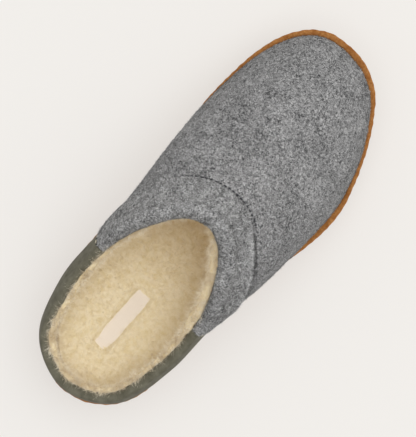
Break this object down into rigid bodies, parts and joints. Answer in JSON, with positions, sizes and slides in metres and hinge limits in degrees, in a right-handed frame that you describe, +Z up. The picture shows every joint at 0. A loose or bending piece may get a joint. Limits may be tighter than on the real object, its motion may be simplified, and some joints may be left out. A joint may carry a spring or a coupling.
{
  "type": "scuff slipper",
  "caption": "Felt scuff slipper for the right foot: hollow upper with rolled collar cuff, low leather heel counter, pile footbed, suede-wrapped platform sole with standing edge.",
  "frame": {"origin": "centre of the shoe's bounding box, on the floor plane under the sole", "axes": "+Y from heel to toe, +X to the wearer's right, which is the outer side of this shoe, +Z up"},
  "size_m": [0.111, 0.2847, 0.113],
  "materials": {
    "suede_wrap": "tan suede with a short nap, wrapped over a foam platform",
    "suede_edge": "raw cut edge of the tan suede, darker golden brown",
    "grey_felt": "thick wool felt in a grey melange",
    "nubuck": "matt green-grey nubuck",
    "cream_pile": "curly cream wool pile",
    "label_tape": "plain pale woven tape"
  },
  "bodies": {
    "root": {"sole": "suede_wrap", "rand_lip": "suede_edge", "upper": "grey_felt", "collar_cuff": "grey_felt", "heel_counter": "nubuck", "insole": "cream_pile", "insole_label": "label_tape"}
  },
  "joints": []
}
